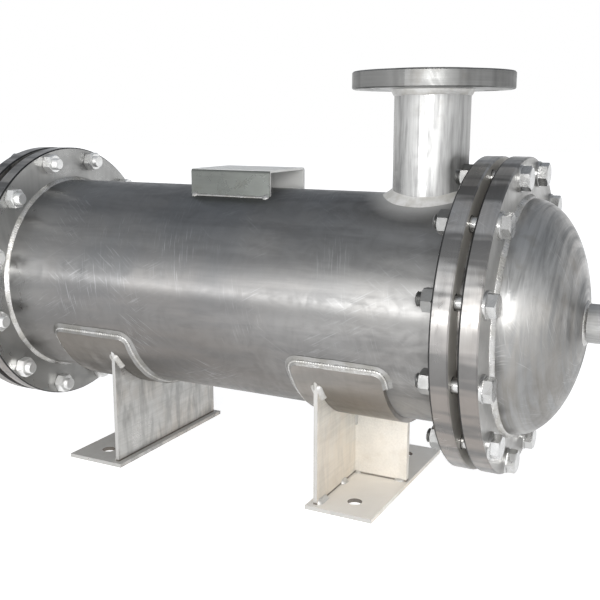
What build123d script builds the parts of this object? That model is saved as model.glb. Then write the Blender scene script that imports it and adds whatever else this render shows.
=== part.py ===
from build123d import *
import math
import os

# A horizontal shell and tube heat exchanger on two welded saddles.
# Millimetres. +X runs along the shell, +Z is up and -Y is the side that faces the viewer.
# The origin is on the floor, in the middle of the four anchor holes.

# Place of the shell above the floor
axis_height = 235.0
shell_centre_x = -3.0

# Shell barrel
shell_od = 273.0
shell_wall = 6.35
shell_length = 618.0

# Girth joint at each end: tubesheet, gasket and head flange. The bolts stand out from the shell
# by their reach, and the edge is left beyond them.
girth_bolt_reach = 30.5
girth_edge = 16.0
girth_bolt_count = 12
girth_hole = 18.0
tubesheet_thickness = 21.0
head_flange_thickness = 21.0
girth_face_width = 25.0
girth_face_height = 3.2
gasket_thickness = 3.2

# Dished heads, half an ellipsoid with a short straight skirt. The depth is a share of the shell's diameter.
head_wall = 6.0
head_skirt = 5.0
head_depth_share = 0.25

# Shell nozzles: one on top near the right end, one level at the back near the left end
nozzle_offset = 244.0
nozzle_od = 88.9
nozzle_wall = 5.5
nozzle_face_height = 277.5
nozzle_flange_od = 188.0
nozzle_flange_thickness = 20.0
nozzle_bolt_circle = 152.4
nozzle_hole = 19.0
nozzle_raised_od = 127.0
nozzle_bolt_count = 4

# Head nozzles on the axis of the shell
head_nozzle_od = 44.5
head_nozzle_wall = 3.2
head_nozzle_length = 90.0
head_nozzle_flange_od = 127.0
head_nozzle_flange_thickness = 17.5
head_nozzle_bolt_circle = 98.4
head_nozzle_hole = 16.0
head_nozzle_raised_od = 73.0

# Raised faces of the nozzle flanges, and how far the pipe ends inside them
raised_face_height = 2.0
pipe_setback = 6.0

# Tube bundle. The outermost tubes keep their clearance from the shell, which sets the pitch,
# and each tube's diameter is a share of the pitch.
tube_rings = 2
tube_share = 0.6757
tube_wall = 2.1
bundle_clearance = 20.3
tube_projection = 2.5
baffle_count = 2
baffle_spacing = 200.0
baffle_thickness = 6.0
baffle_cut_share = 0.25
baffle_shell_clearance = 1.6
tie_rod_od = 12.0
tie_rod_tube_clearance = 4.0
tie_rod_end = 12.0
tie_rod_angles = (30.0, 150.0, 210.0, 330.0)

# Saddles
wear_pad_thickness = 6.0
wear_pad_length = 114.0
wear_pad_wrap = 134.0
wear_pad_corner = 9.0
wear_pad_x = 178.0
base_inner_x = 138.5
base_outer_x = 225.0
base_width = 250.0
base_thickness = 5.0
anchor_x = 188.0
anchor_spacing_y = 176.0
anchor_hole = 18.0
web_inner_x = 146.5
web_thickness = 5.0
web_width = 236.0
rib_thickness = 8.0
rib_end_gap = 2.5

# Nameplate bracket, an upturned channel that rises above the crown of the shell
bracket_x = -5.2
bracket_length = 116.0
bracket_width = 95.0
bracket_rise = 25.0
bracket_sheet = 3.0
bracket_bend = 4.0

# Machined edges of the flanges
rim_chamfer = 1.5

# Clearances
weld_gap = 0.3
tube_clearance = 0.3
overrun = 5.0

# Derived sizes
shell_radius = shell_od / 2
shell_bore_radius = shell_radius - shell_wall
girth_face_radius = shell_bore_radius + girth_face_width
girth_bolt_circle = shell_od + 2 * girth_bolt_reach
girth_rim_radius = girth_bolt_circle / 2 + girth_edge
half_length = shell_length / 2
tubesheet_outer_x = half_length + tubesheet_thickness + girth_face_height
head_flange_inner_x = tubesheet_outer_x + gasket_thickness
head_flange_outer_x = head_flange_inner_x + girth_face_height + head_flange_thickness
head_depth = shell_od * head_depth_share
head_seam_x = head_flange_outer_x + head_skirt
head_apex_x = head_seam_x + head_depth
head_nozzle_face_x = head_apex_x + head_nozzle_length
tube_pitch = (shell_bore_radius - bundle_clearance) / (tube_rings + tube_share / 2)
tube_od = tube_pitch * tube_share
pad_inner_radius = shell_radius + weld_gap
pad_outer_radius = pad_inner_radius + wear_pad_thickness
seat_radius = pad_outer_radius + weld_gap
floor_z = -axis_height
base_top_z = floor_z + base_thickness

FROM_BASE = (Align.CENTER, Align.CENTER, Align.MIN)
TO_X = Rot(0, 90, 0)


def rod(radius, x_from, x_to):
    """Round bar about the X axis."""
    return Pos(x_from, 0, 0) * TO_X * Cylinder(radius, x_to - x_from, align=FROM_BASE)


def turned(points):
    """Solid turned about the X axis from its half section, as (x, radius) points."""
    corners = [(x, 0, radius) for x, radius in points]
    return revolve(make_face(Polyline(*corners, close=True)), axis=Axis.X)


def rim(x_from, x_to, radius):
    """Outline of a flange's rim with its two edges chamfered, from x_from to x_to."""
    inner = radius - rim_chamfer
    return [(x_from, inner), (x_from + rim_chamfer, radius), (x_to - rim_chamfer, radius), (x_to, inner)]


def ring_of_holes(count, circle, hole, x_from, x_to):
    """Cutters for holes parallel to X that straddle the centrelines."""
    drill = Cylinder(hole / 2, x_to - x_from, align=FROM_BASE)
    spots = PolarLocations(circle / 2, count, start_angle=180 / count)
    return [Pos(x_from, 0, 0) * TO_X * spot * drill for spot in spots]


def on_floor(shape):
    """Move a shape from the shell's own frame to the frame of the anchor holes."""
    return Pos(shell_centre_x, 0, axis_height) * shape


def to_left(shape):
    """The same piece at the left end of the shell."""
    return mirror(shape, about=Plane.YZ)


def shell_barrel():
    barrel = rod(shell_radius, -half_length, half_length)
    barrel -= rod(shell_bore_radius, -half_length - overrun, half_length + overrun)
    cutter = Cylinder(nozzle_od / 2 + weld_gap, nozzle_face_height, align=FROM_BASE)
    return barrel - at_top(cutter) - at_back(cutter)


def at_top(shape):
    """Stand a nozzle piece, made along +Z, on the top of the shell."""
    return Pos(nozzle_offset, 0, 0) * shape


def at_back(shape):
    """Lay a nozzle piece, made along +Z, level at the back of the shell."""
    return Pos(-nozzle_offset, 0, 0) * Rot(-90, 0, 0) * shape


def nozzle_pipe():
    """Pipe whose foot is trimmed flush with the bore of the shell."""
    pipe = Cylinder(nozzle_od / 2, nozzle_face_height - pipe_setback, align=FROM_BASE)
    pipe -= Cylinder(nozzle_od / 2 - nozzle_wall, nozzle_face_height, align=FROM_BASE)
    return pipe - rod(shell_bore_radius, -nozzle_od, nozzle_od)


def slip_on_flange(outer, thickness, pipe_od, raised, circle, hole):
    """Flange with its back at x = 0 and its raised face towards +X."""
    bore = pipe_od / 2 + weld_gap
    face = thickness + raised_face_height
    section = [(0, bore), (face, bore), (face, raised / 2), (thickness, raised / 2)]
    section += rim(0, thickness, outer / 2)[::-1]
    drills = ring_of_holes(nozzle_bolt_count, circle, hole, -overrun, face + overrun)
    return turned(section) - drills


def shell_nozzle_flange():
    flange = slip_on_flange(nozzle_flange_od, nozzle_flange_thickness, nozzle_od,
                            nozzle_raised_od, nozzle_bolt_circle, nozzle_hole)
    back = nozzle_face_height - nozzle_flange_thickness
    return Pos(0, 0, back) * Rot(0, -90, 0) * flange


def tube_places():
    """Centres of the tubes on a triangular pitch, as (y, z), ring by ring."""
    places = []
    for row in range(-tube_rings, tube_rings + 1):
        in_row = 2 * tube_rings + 1 - abs(row)
        for step in range(in_row):
            y = (step - (in_row - 1) / 2) * tube_pitch
            places.append((y, row * tube_pitch * math.sin(math.radians(60))))
    return places


def tie_rod_places():
    """(y, z) of the tie rods, beyond the flats of the hexagon of tubes."""
    flat = tube_rings * tube_pitch * math.cos(math.pi / 6)
    radius = flat + tube_od / 2 + tie_rod_tube_clearance + tie_rod_od / 2
    angles = [math.radians(angle) for angle in tie_rod_angles]
    return [(radius * math.cos(angle), radius * math.sin(angle)) for angle in angles]


def bars(radius, places, x_from, x_to):
    """Round bars along X at the given (y, z) places."""
    return [Pos(0, y, z) * rod(radius, x_from, x_to) for y, z in places]


def tubesheet():
    """Right tubesheet, extended as a flange and drilled for the tubes."""
    face_x = half_length + tubesheet_thickness
    section = [(half_length, 0), (tubesheet_outer_x, 0), (tubesheet_outer_x, girth_face_radius)]
    section += [(face_x, girth_face_radius)] + rim(half_length, face_x, girth_rim_radius)[::-1]
    plate = turned(section)
    span = (half_length - overrun, tubesheet_outer_x + overrun)
    plate -= ring_of_holes(girth_bolt_count, girth_bolt_circle, girth_hole, *span)
    return plate - bars(tube_od / 2 + tube_clearance, tube_places(), *span)


def tubes():
    end = tubesheet_outer_x + tube_projection
    outer = bars(tube_od / 2, tube_places(), -end, end)
    inner = bars(tube_od / 2 - tube_wall, tube_places(), -end - overrun, end + overrun)
    return [tube - bore for tube, bore in zip(outer, inner)]


def baffles():
    """Segmental baffles, cut away in turn at the top and the bottom."""
    radius = shell_bore_radius - baffle_shell_clearance
    window = 2 * radius * baffle_cut_share
    made = []
    for index in range(baffle_count):
        x = (index - (baffle_count - 1) / 2) * baffle_spacing
        start, stop = x - baffle_thickness / 2, x + baffle_thickness / 2
        side = 1 if index % 2 == 0 else -1
        plate = rod(radius, start, stop)
        cut = Box(baffle_thickness + overrun, 2 * radius, 2 * window)
        plate -= Pos(x, 0, side * radius) * cut
        span = (start - overrun, stop + overrun)
        kept = radius - window
        holes = [spot for spot in tube_places() if side * spot[1] - tube_od / 2 < kept]
        plate -= bars(tube_od / 2 + tube_clearance, holes, *span)
        plate -= bars(tie_rod_od / 2 + tube_clearance, tie_rod_places(), *span)
        made.append(plate)
    return made


def tie_rods():
    """Rods from the left tubesheet that carry the baffles."""
    last = (baffle_count - 1) / 2 * baffle_spacing + baffle_thickness / 2
    return bars(tie_rod_od / 2, tie_rod_places(), -half_length, last + tie_rod_end)


def gasket():
    ring = rod(girth_face_radius, tubesheet_outer_x, head_flange_inner_x)
    return ring - rod(shell_bore_radius, half_length, head_flange_outer_x)


def head_flange():
    face_x = head_flange_inner_x + girth_face_height
    bore = shell_radius - head_wall
    section = [(head_flange_inner_x, bore), (head_flange_outer_x, bore)]
    section += rim(face_x, head_flange_outer_x, girth_rim_radius)[::-1]
    section += [(face_x, girth_face_radius), (head_flange_inner_x, girth_face_radius)]
    span = (head_flange_inner_x - overrun, head_flange_outer_x + overrun)
    drills = ring_of_holes(girth_bolt_count, girth_bolt_circle, girth_hole, *span)
    return turned(section) - drills


def dish(inset):
    """Solid inside the dished head's outline, set in by the given depth."""
    rim_radius = shell_radius - inset
    depth = head_depth - inset
    arc = EllipticalCenterArc((head_seam_x, 0), depth, rim_radius, start_angle=0, arc_size=90)
    start = (head_flange_outer_x, 0)
    corner = (head_flange_outer_x, rim_radius)
    outline = [Line(start, arc @ 0), arc, Line(arc @ 1, corner), Line(corner, start)]
    return revolve(Rot(90, 0, 0) * make_face(outline), axis=Axis.X)


def dished_head():
    head = dish(0) - dish(head_wall)
    hole = rod(head_nozzle_od / 2 + weld_gap, head_seam_x, head_nozzle_face_x)
    return head - hole


def head_nozzle_pipe():
    pipe = rod(head_nozzle_od / 2, head_apex_x - head_wall, head_nozzle_face_x - pipe_setback)
    return pipe - rod(head_nozzle_od / 2 - head_nozzle_wall, head_seam_x, head_nozzle_face_x)


def head_nozzle_flange():
    flange = slip_on_flange(head_nozzle_flange_od, head_nozzle_flange_thickness,
                            head_nozzle_od, head_nozzle_raised_od,
                            head_nozzle_bolt_circle, head_nozzle_hole)
    return Pos(head_nozzle_face_x - head_nozzle_flange_thickness, 0, 0) * flange


def nameplate_bracket():
    """Upturned channel, open at both ends, standing on the crown of the shell."""
    inside = bracket_width / 2 - bracket_sheet
    foot = math.sqrt(shell_radius**2 - inside**2) + weld_gap
    height = shell_radius + bracket_rise - foot
    lift = Pos(bracket_x, 0, foot + height / 2)
    outer = Box(bracket_length, bracket_width, height)
    outer = fillet(outer.edges().filter_by(Axis.X).group_by(Axis.Z)[-1], bracket_bend)
    inner = Box(bracket_length + overrun, 2 * inside, height)
    inner = fillet(inner.edges().filter_by(Axis.X).group_by(Axis.Z)[-1],
                   bracket_bend - bracket_sheet)
    return lift * (outer - Pos(0, 0, -bracket_sheet) * inner)


def wear_pad():
    """Curved plate under the shell, with rounded corners."""
    start = wear_pad_x - wear_pad_length / 2
    corners = [(start, -pad_inner_radius), (start, -pad_outer_radius),
               (start + wear_pad_length, -pad_outer_radius),
               (start + wear_pad_length, -pad_inner_radius)]
    section = make_face(Polyline(*[(x, 0, z) for x, z in corners], close=True))
    section = section.rotate(Axis.X, -wear_pad_wrap / 2)
    pad = revolve(section, axis=Axis.X, revolution_arc=wear_pad_wrap)
    edges = pad.edges().filter_by(lambda edge: abs(edge.length - wear_pad_thickness) < weld_gap)
    return fillet(edges, wear_pad_corner)


def plate_between(x_from, x_to, width, z_from, z_to):
    """Flat-sided plate between two x and two z values, centred on y = 0."""
    box = Box(x_to - x_from, width, z_to - z_from, align=(Align.MIN, Align.CENTER, Align.MIN))
    return Pos(x_from, 0, z_from) * box


def saddle_base():
    plate = plate_between(base_inner_x, base_outer_x, base_width, floor_z, base_top_z)
    drill = Cylinder(anchor_hole / 2, 2 * base_thickness + overrun)
    for side in (-1, 1):
        plate -= Pos(anchor_x, side * anchor_spacing_y / 2, floor_z) * drill
    return plate


def saddle_web():
    """Upright plate across the saddle, hollowed to the wear pad."""
    plate = plate_between(web_inner_x, web_inner_x + web_thickness, web_width, base_top_z, 0)
    return plate - rod(seat_radius, web_inner_x - overrun, base_outer_x)


def saddle_rib():
    start = web_inner_x + web_thickness
    plate = plate_between(start, base_outer_x - rib_end_gap, rib_thickness, base_top_z, 0)
    return plate - rod(seat_radius, web_inner_x, base_outer_x + overrun)


def lift_saddle(shape):
    """Saddle pieces are placed from the anchor holes, so they only rise to the shell axis."""
    return Pos(0, 0, axis_height) * shape


def write(name, shape):
    solids = shape if isinstance(shape, list) else [shape]
    export_step(Compound(children=[solid for piece in solids for solid in piece.solids()]),
                os.path.join("parts", name + ".step"))


def main():
    os.makedirs("parts", exist_ok=True)
    write("shell_barrel", on_floor(shell_barrel()))
    write("top_nozzle_pipe", on_floor(at_top(nozzle_pipe())))
    write("top_nozzle_flange", on_floor(at_top(shell_nozzle_flange())))
    write("rear_nozzle_pipe", on_floor(at_back(nozzle_pipe())))
    write("rear_nozzle_flange", on_floor(at_back(shell_nozzle_flange())))
    write("nameplate_bracket", on_floor(nameplate_bracket()))
    write("tubes", [on_floor(tube) for tube in tubes()])
    write("baffles", [on_floor(baffle) for baffle in baffles()])
    write("tie_rods", [on_floor(bar) for bar in tie_rods()])
    ends = {
        "tubesheet": tubesheet(),
        "gasket": gasket(),
        "head_flange": head_flange(),
        "dished_head": dished_head(),
        "head_nozzle_pipe": head_nozzle_pipe(),
        "head_nozzle_flange": head_nozzle_flange(),
    }
    for name, shape in ends.items():
        write("right_" + name, on_floor(shape))
        write("left_" + name, on_floor(to_left(shape)))
    saddle = {
        "wear_pad": wear_pad(),
        "saddle_web": saddle_web(),
        "saddle_rib": saddle_rib(),
        "saddle_base": saddle_base(),
    }
    for name, shape in saddle.items():
        write("right_" + name, lift_saddle(shape))
        write("left_" + name, lift_saddle(to_left(shape)))


main()
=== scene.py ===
from dataclasses import dataclass
import math
import random

import bpy
from mathutils import Matrix, Vector, noise


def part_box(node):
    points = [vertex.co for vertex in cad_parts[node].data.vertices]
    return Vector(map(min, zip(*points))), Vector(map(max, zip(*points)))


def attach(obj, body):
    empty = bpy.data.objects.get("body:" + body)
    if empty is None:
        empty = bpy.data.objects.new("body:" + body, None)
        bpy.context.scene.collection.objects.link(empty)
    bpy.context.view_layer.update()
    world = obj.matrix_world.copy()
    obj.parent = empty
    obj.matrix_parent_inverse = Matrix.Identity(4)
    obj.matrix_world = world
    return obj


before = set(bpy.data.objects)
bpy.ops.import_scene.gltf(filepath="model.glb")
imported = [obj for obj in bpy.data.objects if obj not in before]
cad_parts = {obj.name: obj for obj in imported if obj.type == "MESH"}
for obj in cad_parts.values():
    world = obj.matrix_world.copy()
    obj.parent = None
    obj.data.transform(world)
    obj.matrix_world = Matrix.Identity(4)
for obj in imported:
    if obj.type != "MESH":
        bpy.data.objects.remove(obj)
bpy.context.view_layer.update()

# The look of a stainless shell and tube heat exchanger. Metres, in the frame of the CAD model:
# +X along the shell, +Z up, the floor at z = 0.

# Sizes read from the frame
shell_low, shell_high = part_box("shell_barrel")
AXIS_Z = (shell_low.z + shell_high.z) / 2
SHELL_RADIUS = (shell_high.z - shell_low.z) / 2
SHELL_MIDDLE = (shell_low.x + shell_high.x) / 2
SHELL_HALF = (shell_high.x - shell_low.x) / 2
pipe_low, pipe_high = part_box("top_nozzle_pipe")
NOZZLE_RADIUS = (pipe_high.y - pipe_low.y) / 2
TOP_NOZZLE_X = (pipe_low.x + pipe_high.x) / 2
REAR_NOZZLE_X = sum(corner.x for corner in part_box("rear_nozzle_pipe")) / 2
NOZZLE_FLANGE_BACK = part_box("top_nozzle_flange")[0].z - AXIS_Z
head_pipe_low, head_pipe_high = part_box("right_head_nozzle_pipe")
HEAD_PIPE_RADIUS = (head_pipe_high.z - head_pipe_low.z) / 2
HEAD_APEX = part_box("right_dished_head")[1].x - SHELL_MIDDLE
HEAD_PIPE_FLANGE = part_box("right_head_nozzle_flange")[0].x - SHELL_MIDDLE
head_flange_low, head_flange_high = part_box("right_head_flange")
HEAD_FLANGE_OUTER = head_flange_high.x - SHELL_MIDDLE
pad_low, pad_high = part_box("right_wear_pad")
web_low, web_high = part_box("right_saddle_web")
rib_low, rib_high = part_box("right_saddle_rib")
base_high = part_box("right_saddle_base")[1]
bracket_low, bracket_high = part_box("nameplate_bracket")

# Height of the raised faces in the girth joints, and thickness of a head flange without it
RAISED = 0.0032
PLATE = head_flange_high.x - head_flange_low.x - RAISED

# Wear pads, and the anchor holes in the base plates
PAD_WRAP = math.radians(134)
PAD_CORNER = 0.009
ANCHOR_X = 0.188
ANCHOR_Y = 0.088
ANCHOR_RADIUS = 0.009

# Girth bolts, M16
BOLT_CIRCLE = 0.334 / 2
BOLT_COUNT = 12
BOLT_RADIUS = 0.008
ACROSS_FLATS = 0.024
WASHER_RADIUS = 0.015
WASHER_THICKNESS = 0.003
HEAD_HEIGHT = 0.010
NUT_HEIGHT = 0.013
STUD_END = 0.006
THREAD_PITCH = 0.002
THREAD_DEPTH = 0.0011
CHAMFER_SLOPE = math.tan(math.radians(30))
CHAMFER_SHARE = 0.96
WASHER_EDGE = 0.0004

# Welds: the legs of a fillet run up the piece that stands, and along the one that it stands on
RIPPLE_PITCH = 0.0032
RIPPLE_CURVE = 0.45
FILLET_UNEVENNESS = (0.14, 45.0, 3.7, 0.35, 0.3)
BEAD_UNEVENNESS = (0.3, 120.0, 5.1, 0.3, 0.2)
BURIED = 0.0008
BEAD_NOTCH = 0.45
BEAD_SHARE = 0.36
SHELL_LEGS = (0.0045, 0.0045)
HEAD_LEGS = (0.0045, 0.0050)
APEX_LEGS = (0.004, 0.004)
COLLAR_LEGS = (0.004, 0.005)
NOZZLE_FOOT_LEGS = (0.0075, 0.0110)
NOZZLE_NECK_LEGS = (0.004, 0.007)
PAD_LEGS = (0.0062, 0.0100)
WEB_LEGS = (0.005, 0.005)
WEB_CORNER_LEGS = (0.006, 0.005)
RIB_LEGS = (0.003, 0.003)
BRACKET_LEGS = (0.0016, 0.002)
TACK_LEGS = (0.004, 0.005)
PAD_BEAD = 0.0026
PAD_CORNER_WELD = 0.022
WEB_END_RUN = 0.026
WEB_STITCHES = ((0.117, 0.092), (0.048, 0.034))
RIB_STITCHES = ((0.0, 0.008), (0.055, 0.068))
RIB_TOP_STITCH = (0.002, 0.022)
BRACKET_TACK = 0.010
BRACKET_INSET = 0.001
HEAD_PIPE_DIP = 0.0009
WELD_SHARP = 70
BOLT_SHARP = 25

# The camera, fitted to the photograph
CAMERA_PLACE = Vector((0.5840, -1.0041, 0.4582))
CAMERA_BACK = Vector((0.4480, -0.8712, 0.2007))
CAMERA_ROLL = math.radians(0.07)
CAMERA_LENS = 52.81
SENSOR_WIDTH = 36.0
CAMERA_REACH = 60.0

# Studio
FLOOR_HALF = 12.0
FLOOR_GAP = 0.0004
FLOOR_LIFT = 0.72
FLOOR_TONE = (0.80, 0.80, 0.80, 1.0)
WHITE = (1.0, 1.0, 1.0, 1.0)
FRONT_GLOW = (0.70, 0.72, 0.74, 1.0)
CEILING = (0.36, 0.38, 0.41, 1.0)
RISE_BEHIND = (0.04, 0.45)
RISE_AHEAD = (0.04, 0.50)
TOP_AHEAD = (0.50, 1.05)
GLOW_SIDE = (-0.75, -0.35)
FRONT_TO_BACK = (-0.30, 0.20)
FRONT_LAMP_PLACE = CAMERA_PLACE + CAMERA_BACK * 0.1 + Vector((0.0, 0.0, 0.10))
FRONT_LAMP_SIZE = (0.18, 0.42)
FRONT_LAMP_POWER = 5.2
STRIP_PLACE = Vector((0.10, CAMERA_PLACE.y - 0.05, CAMERA_PLACE.z - 0.09))
STRIP_SIZE = (1.0, 0.05)
STRIP_POWER = 2.7


class Graph:
    """Nodes of a material or world, cleared at first, with each node added and linked in one call."""

    def __init__(self, owner):
        owner.use_nodes = True
        self.tree = owner.node_tree
        self.tree.nodes.clear()

    def add(self, kind, settings=None, **inputs):
        node = self.tree.nodes.new(kind)
        for key, value in (settings or {}).items():
            setattr(node, key, value)
        for key, value in inputs.items():
            self.feed(node.inputs[key.replace("_", " ")], value)
        return node

    def feed(self, socket, value):
        if isinstance(value, bpy.types.NodeSocket):
            self.tree.links.new(value, socket)
        else:
            socket.default_value = value

    def math(self, operation, first, second=0.0, clamp=False):
        node = self.add("ShaderNodeMath", {"operation": operation, "use_clamp": clamp})
        self.feed(node.inputs[0], first)
        self.feed(node.inputs[1], second)
        return node.outputs[0]

    def vector(self, operation, first, second=(0.0, 0.0, 0.0)):
        node = self.add("ShaderNodeVectorMath", {"operation": operation})
        self.feed(node.inputs[0], first)
        self.feed(node.inputs[1], second)
        return node.outputs["Value" if operation in ("LENGTH", "DOT_PRODUCT") else "Vector"]

    def times(self, first, second):
        return self.math("MULTIPLY", first, second)

    def place(self):
        return self.add("ShaderNodeTexCoord").outputs["Object"]

    def parts(self, vector):
        return self.add("ShaderNodeSeparateXYZ", Vector=vector).outputs

    def noise(self, vector, scale, detail=3.0, roughness=0.5, distortion=0.0):
        node = self.add("ShaderNodeTexNoise", Vector=vector, Scale=scale, Detail=detail,
                        Roughness=roughness, Distortion=distortion)
        return node.outputs["Fac"]

    def ramp(self, value, low, high, start=0.0, end=1.0):
        """Value mapped from low..high to start..end, clamped."""
        node = self.add("ShaderNodeMapRange", {"clamp": True}, Value=value)
        node.inputs["From Min"].default_value = low
        node.inputs["From Max"].default_value = high
        node.inputs["To Min"].default_value = start
        node.inputs["To Max"].default_value = end
        return node.outputs[0]

    def mix(self, factor, first, second):
        node = self.add("ShaderNodeMix", {"data_type": "RGBA"}, Factor=factor)
        self.feed(node.inputs[6], first)
        self.feed(node.inputs[7], second)
        return node.outputs[2]

    def bump(self, height, distance, strength=1.0, normal=None):
        node = self.add("ShaderNodeBump", Height=height, Distance=distance, Strength=strength)
        if normal:
            self.feed(node.inputs["Normal"], normal)
        return node.outputs[0]

    def lean(self, axis):
        """How far the surface faces along an axis, from -1 to 1."""
        return self.vector("DOT_PRODUCT", self.add("ShaderNodeNewGeometry").outputs["Normal"], AXES[axis])

    def surface(self, shader):
        output = self.add("ShaderNodeOutputMaterial")
        self.feed(output.inputs["Surface"], shader)


AXES = {"X": (1.0, 0.0, 0.0), "Y": (0.0, 1.0, 0.0), "Z": (0.0, 0.0, 1.0)}
AXIS_ORDER = {"X": (0, 1, 2), "Y": (1, 2, 0), "Z": (2, 0, 1)}


def round_place(graph, centre, axis):
    """Place on a round piece as (along its axis, around it as an arc length, away from it)."""
    moved = graph.vector("SUBTRACT", graph.place(), centre)
    parts = graph.parts(moved)
    along, across, up = (parts[index] for index in AXIS_ORDER[axis])
    angle = graph.math("ARCTAN2", across, up)
    squares = graph.math("ADD", graph.times(across, across), graph.times(up, up))
    distance = graph.math("SQRT", squares)
    around = graph.times(angle, distance)
    return graph.add("ShaderNodeCombineXYZ", X=along, Y=around, Z=distance).outputs[0]


def hoop_direction(graph, centre, axis):
    """Direction round the axis at each point of the surface."""
    moved = graph.vector("SUBTRACT", graph.place(), centre)
    return graph.vector("NORMALIZE", graph.vector("CROSS_PRODUCT", AXES[axis], moved))


@dataclass
class Finish:
    """How one sort of steel surface was worked and how it has worn, with light and shade painted on it:
    painted shade below the axis, painted sheen at the shell's ends and beside its nozzles, painted shadow
    lines along rim edges, dirt with painted shade in joints, and painted dark reflection bands.
    """

    tone: tuple
    about: tuple = None
    lines: str = "hoop"
    roughness: float = 0.3
    spread: float = 0.0
    line_depth: float = 0.00006
    streaks: float = 0.06
    clouds: float = 0.08
    swirls: float = 0.04
    stains: float = 0.0
    warmth: float = 0.0
    waves: float = 0.0002
    scratches: float = 0.3
    metallic: float = 1.0
    seconds: tuple = ()
    low_painted_shade: float = 0.0
    line_tone: float = 0.55
    smears: float = 0.0
    marks: float = 0.0
    rise: float = 0.0
    smear_scale: tuple = (4.0, 26.0, 26.0)
    reflection_bands: float = 0.0
    edges: tuple = ()
    halos: tuple = ()
    low_shade_tone: tuple = (0.82, 0.75, 0.69)
    painted_end_sheen: float = 0.0
    shaded_dirty_joints: bool = False


@dataclass
class SecondLook:
    """Another look for part of a piece: the faces across an axis, or what lies inside a width.
    With outward it takes only the faces that look away from the shell's middle, or towards it at -1."""

    tone: tuple
    gain: float
    rougher: float
    metallic: float
    axis: str = "X"
    inside: float = None
    outward: int = 0

    def mask(self, graph, place):
        if self.inside:
            across = graph.parts(place)["Y"]
            return graph.math("LESS_THAN", graph.math("ABSOLUTE", across), self.inside)
        lean = graph.lean(self.axis)
        if self.outward:
            along = graph.parts(place)["X"]
            side = graph.math("SIGN", graph.math("SUBTRACT", along, SHELL_MIDDLE))
            facing = graph.times(graph.times(lean, side), self.outward)
            return graph.math("GREATER_THAN", facing, FACING)
        return graph.math("GREATER_THAN", graph.math("ABSOLUTE", lean), FACING)


# A face that leans more than this along an axis faces that way, and one that leans less along Z is a wall
FACING = 0.8
UPRIGHT = 0.5

# Brush lines of each sort, as noise scales
LINE_SCALES = {
    "hoop": (420.0, 9.0, 420.0),
    "lengthwise": (9.0, 420.0, 420.0),
    "across": (380.0, 12.0, 380.0),
    "none": (160.0, 160.0, 160.0),
}
BROAD_SHARE = 0.17
BAND_SCALE = (3.0, 24.0, 0.0)
MARK_SCALE = (34.0, 620.0, 34.0)
SCRATCH_SCALE = (14.0, 260.0, 260.0)

# Noises, as scale, detail, roughness and distortion
LINE_NOISE = (1.0, 3.0, 0.65)
BROAD_NOISE = (1.0, 3.0, 0.6)
SMEAR_NOISE = (1.0, 4.0, 0.62, 0.4)
BAND_NOISE = (1.0, 3.0, 0.6)
MARK_NOISE = (1.0, 2.0, 0.5)
CLUSTER_NOISE = (13.0, 2.0, 0.5)
CLOUD_NOISE = (8.0, 4.0, 0.6)
PATCH_NOISE = (38.0, 4.0, 0.6)
SWIRL_NOISE = (26.0, 2.0, 0.5, 3.0)
WAVE_NOISE = (17.0, 2.0, 0.4)
GASKET_NOISE = (900.0, 3.0)
PIT_NOISE = (420.0, 3.0, 0.6)
STRAW_NOISE = (55.0, 3.0, 0.6)

# Where in a noise its mark begins and where it is full
LINE_SPAN = (0.3, 0.7)
TONE_SPAN = (0.35, 0.65)
STAIN_SPAN = (0.55, 0.70)
WARM_SPAN = (0.42, 0.60)
STREAK_SPAN = (0.32, 0.68)
CLOUD_SPAN = (0.36, 0.66)
SWIRL_SPAN = (0.40, 0.62)
SMEAR_SPAN = (0.47, 0.62)
SMEAR_ROUGH_SPAN = (0.36, 0.64)
BAND_SPAN = (0.46, 0.56)
MARK_SPAN = (0.60, 0.72)
CLUSTER_SPAN = (0.52, 0.66)
SCRATCH_SPAN = (0.66, 0.70)
STRAW_SPAN = (0.40, 0.62)
PIT_SPAN = (0.35, 0.65)

# Lighter and darker parts of a finish, as factors of its tone
LINE_DARK = 0.84
LINE_LIGHT = 1.12
SMEAR_DARK = 0.62
# Painted dark reflections, in bands round the rims
REFLECTION_BAND_DARK = 0.30
MARK_LIGHT = 2.2
STAIN_SHADE = (0.60, 0.54, 0.46)
WARM_SHADE = (1.03, 0.93, 0.83)
DIRT_AND_SHADE_GAIN = 0.85
HALO_SHEEN_GAIN = 0.8
HALO_ROUGHER = 0.06
HALO_DULLER = 0.6
SMEAR_ROUGHER = 0.03
WELD_CLEAN = (1.0, 0.99, 0.97)
WELD_STRAW = (0.80, 0.78, 0.73)
WELD_SMOOTHER = 0.08
WELD_ROUGHER = 0.10

# How far the painted shade below the axis and the painted sheen at the shell's ends reach
LOW_SHADE_REACH = 0.05
CROWN_SHARE = 0.75
END_SHEEN_FULL_RIGHT = 0.8
END_SHEEN_START_LEFT = 0.68


def shade(tone, factors):
    """A tone times one factor, or one for each channel, at most white."""
    if isinstance(factors, float):
        factors = (factors,) * 3
    return tuple(min(1.0, channel * factor) for channel, factor in zip(tone, factors)) + (1.0,)


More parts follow.
